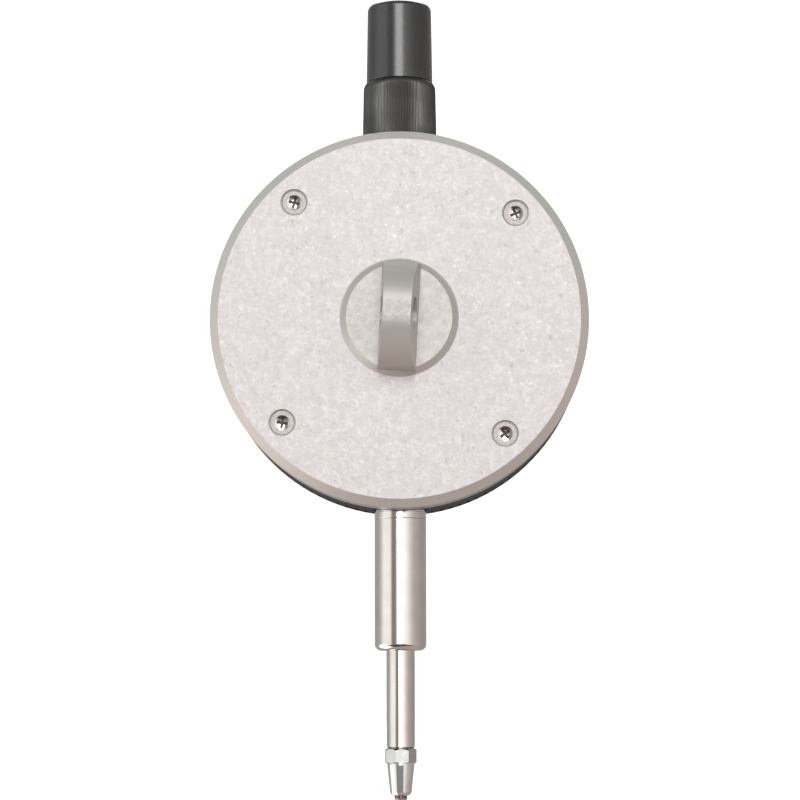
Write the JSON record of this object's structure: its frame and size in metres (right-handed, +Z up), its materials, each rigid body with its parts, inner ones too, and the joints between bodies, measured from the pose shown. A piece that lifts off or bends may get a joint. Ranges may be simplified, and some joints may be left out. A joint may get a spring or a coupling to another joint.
{
  "type": "dial indicator",
  "caption": "Dial indicator with a lug back, clamping stem, sliding spindle with ball-tipped contact point, geared hands, turning bezel and pull-off top cap.",
  "frame": {"origin": "on the spindle axis, at the middle of the stem's clamping length", "axes": "+Z up along the spindle axis from the contact point to the cap, -Y out of the back cover towards the lug, +Y out of the dial"},
  "size_m": [0.058, 0.0314, 0.1254],
  "materials": {
    "case_black": "satin black enamel",
    "cover_silver": "bead-blasted flat with smooth satin edges, boss and lug",
    "screw_steel": "turned steel",
    "stem_steel": "ground and polished",
    "spindle_steel": "ground and polished",
    "point_steel": "turned and fluted",
    "ball_red": "polished dark red ball, hard as ruby",
    "gunmetal": "dark anodised, fine lines along its length",
    "cap_black": "smooth, semi-gloss",
    "bezel_black": "satin black with a fluted grip",
    "brass": "fine ground",
    "bronze": "bored and reamed",
    "spring_steel": "bright wire",
    "dial_white": "matt white with printed black marks",
    "hand_black": "matt black",
    "crystal": "clear",
    "seal_black": "moulded"
  },
  "bodies": {
    "case": {"case_body": "case_black", "back_cover": "cover_silver", "cover_screws": "screw_steel", "stem": "stem_steel", "lower_bush": "bronze", "upper_tube": "stem_steel", "upper_bush": "bronze", "top_collar": "gunmetal", "main_plate": "brass", "frame_screws": "screw_steel", "front_plate": "brass", "plate_pillars": "brass", "plate_screws": "screw_steel", "rear_bridge": "brass", "bridge_pillars": "brass", "bridge_screws": "screw_steel", "rear_pivot_bushes": "bronze", "front_pivot_bushes": "bronze", "guide_rail": "screw_steel", "rail_screws": "screw_steel", "spring_post": "screw_steel", "return_spring": "spring_steel", "hairspring_stud": "brass", "hairspring": "spring_steel", "dial_centre": "dial_white", "bezel_wire": "spring_steel"},
    "spindle": {"spindle": "spindle_steel", "guide_pin": "screw_steel", "spring_hook": "screw_steel", "contact_point": "point_steel", "contact_ball": "ball_red"},
    "first_arbor": {"rack_pinion": "screw_steel", "first_wheel": "brass"},
    "centre_arbor": {"centre_pinion": "screw_steel", "main_hand": "hand_black", "hand_hub": "hand_black"},
    "counter_train": {"counter_arbor": "screw_steel", "counter_wheel": "brass", "hairspring_collet": "brass", "counter_hand": "hand_black"},
    "bezel_group": {"bezel": "bezel_black", "dial_ring": "dial_white", "crystal": "crystal", "crystal_ring": "seal_black"},
    "cap": {"top_cap": "cap_black"}
  },
  "joints": [
    {"name": "spindle_slide", "type": "slide", "parent": "case", "child": "spindle", "axis": [0, 0, 1], "range_m": [0, 0.0103], "stiffness_N_per_m": 60, "springref_m": -0.02, "deforming": ["return_spring"]},
    {"name": "first_wheel_turn", "type": "hinge", "parent": "case", "child": "first_arbor", "pos_m": [0.00309, 0, 0.02925], "axis": [0, 1, 0], "range_deg": [-1, 372]},
    {"name": "main_hand_turn", "type": "hinge", "parent": "case", "child": "centre_arbor", "pos_m": [0, 0, 0.03975], "axis": [0, 1, 0], "range_deg": [-3709, 1]},
    {"name": "counter_hand_turn", "type": "hinge", "parent": "case", "child": "counter_train", "pos_m": [-0.01094, 0, 0.03975], "axis": [0, 1, 0], "range_deg": [-1, 372], "deforming": ["hairspring"]},
    {"name": "bezel_turn", "type": "hinge", "parent": "case", "child": "bezel_group", "pos_m": [0, 0, 0.03975], "axis": [0, 1, 0], "continuous": true},
    {"name": "cap_pull", "type": "slide", "parent": "case", "child": "cap", "axis": [0, 0, 1], "range_m": [0, 0.012]}
  ],
  "couplings": [
    {"joint": "first_wheel_turn", "follows": "spindle_slide", "rad_per_m": 628.32},
    {"joint": "main_hand_turn", "follows": "spindle_slide", "rad_per_m": -6283.2},
    {"joint": "counter_hand_turn", "follows": "spindle_slide", "rad_per_m": 628.32}
  ]
}
